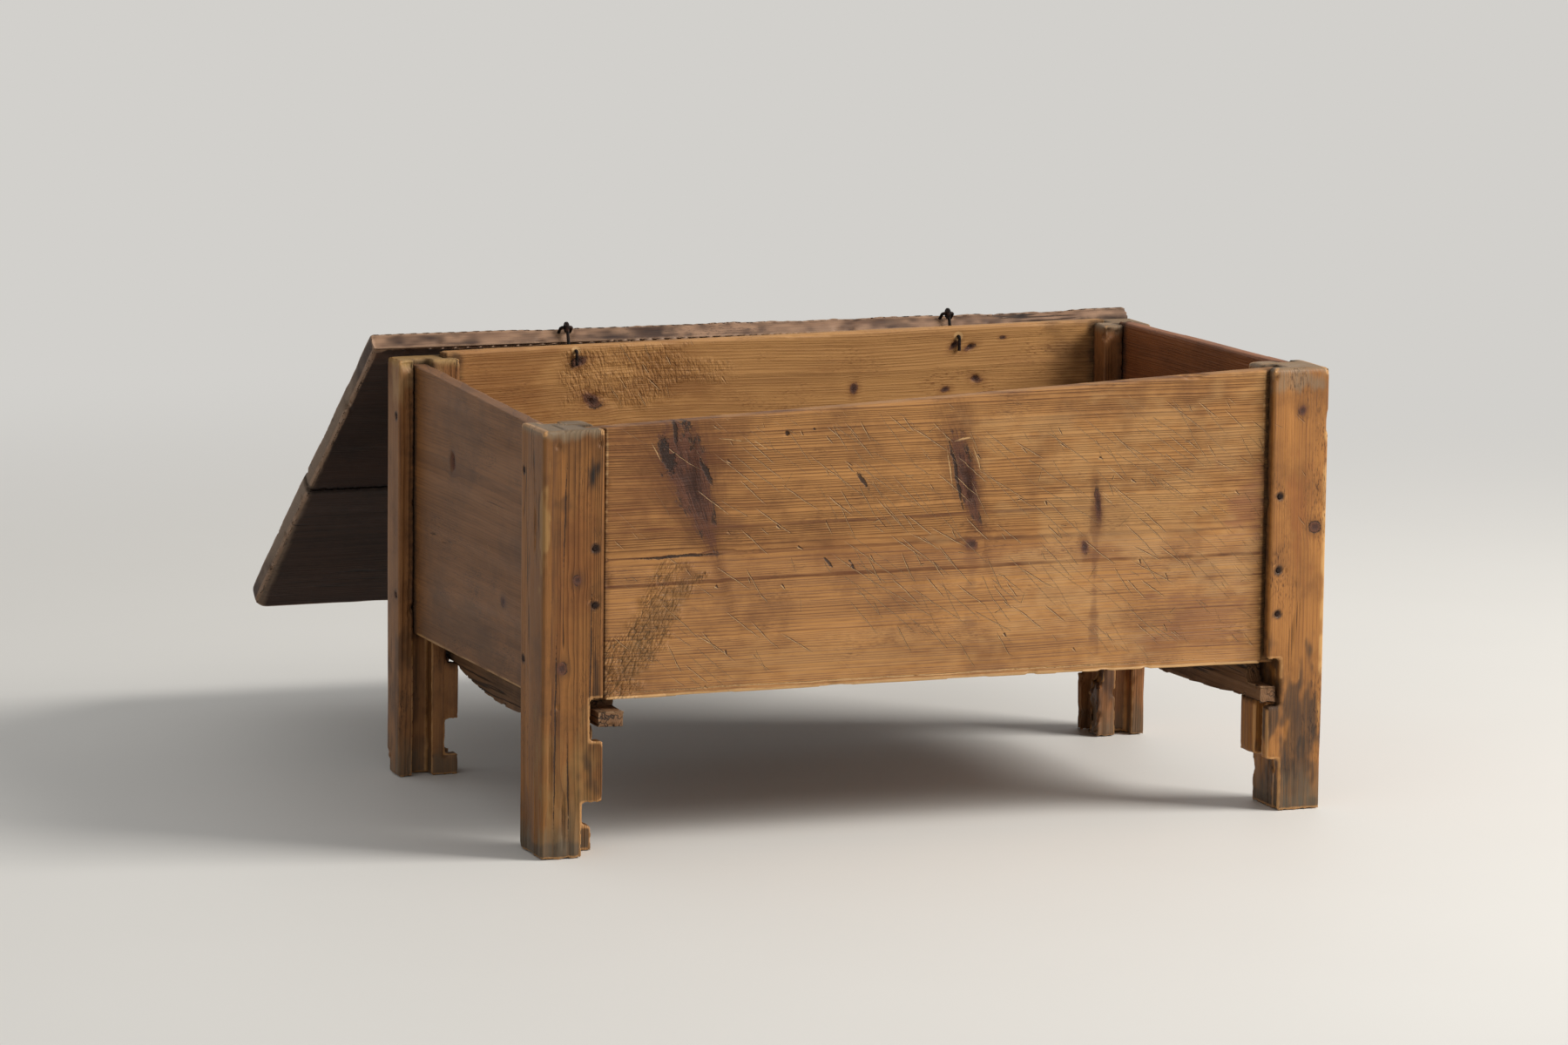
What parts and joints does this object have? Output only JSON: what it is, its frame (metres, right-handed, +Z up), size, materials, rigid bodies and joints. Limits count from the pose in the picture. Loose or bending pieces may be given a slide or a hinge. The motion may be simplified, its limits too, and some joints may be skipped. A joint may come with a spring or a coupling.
{
  "type": "cassone",
  "caption": "Antique boarded pine chest: grooved corner posts stepped into legs, boards let into the grooves, floor on bowed bearers, lid hanging open behind on wrought loop hinges.",
  "frame": {"origin": "on the floor, below the centre of the box round the whole part as stored, with its lid hanging open behind", "axes": "+X along the front towards the right-hand post, +Y from the front to the back, +Z up"},
  "size_m": [1.1448, 1.168, 0.6092],
  "materials": {
    "post_wood": "old waxed pine",
    "board_wood": "old waxed pine",
    "floor_wood": "old dry pine",
    "lid_wood": "darkened pine",
    "dowel_wood": "split wood",
    "wrought_iron": "forged, dark",
    "nail_iron": "forged, rusted dark"
  },
  "bodies": {
    "chest": {"post_front_left": "post_wood", "post_front_right": "post_wood", "post_rear_left": "post_wood", "post_rear_right": "post_wood", "front_board": "board_wood", "rear_board": "board_wood", "left_end_board": "board_wood", "right_end_board": "board_wood", "bearer_left": "floor_wood", "bearer_right": "floor_wood", "floor_board_front": "floor_wood", "floor_board_middle": "floor_wood", "floor_board_rear": "floor_wood", "hinge_eye_left": "wrought_iron", "hinge_eye_right": "wrought_iron", "front_nails": "nail_iron", "rear_nails": "nail_iron", "side_nails": "nail_iron", "floor_nails": "nail_iron"},
    "lid": {"lid_board_rear": "lid_wood", "lid_board_front": "lid_wood", "lid_dowels": "dowel_wood", "hinge_staple_left": "wrought_iron", "hinge_staple_right": "wrought_iron"}
  },
  "joints": [
    {"name": "lid_hinge", "type": "hinge", "parent": "chest", "child": "lid", "pos_m": [-0.53554, 0.05984, 0.6015], "axis": [1, 0, 0], "range_deg": [0, 219.78]}
  ]
}
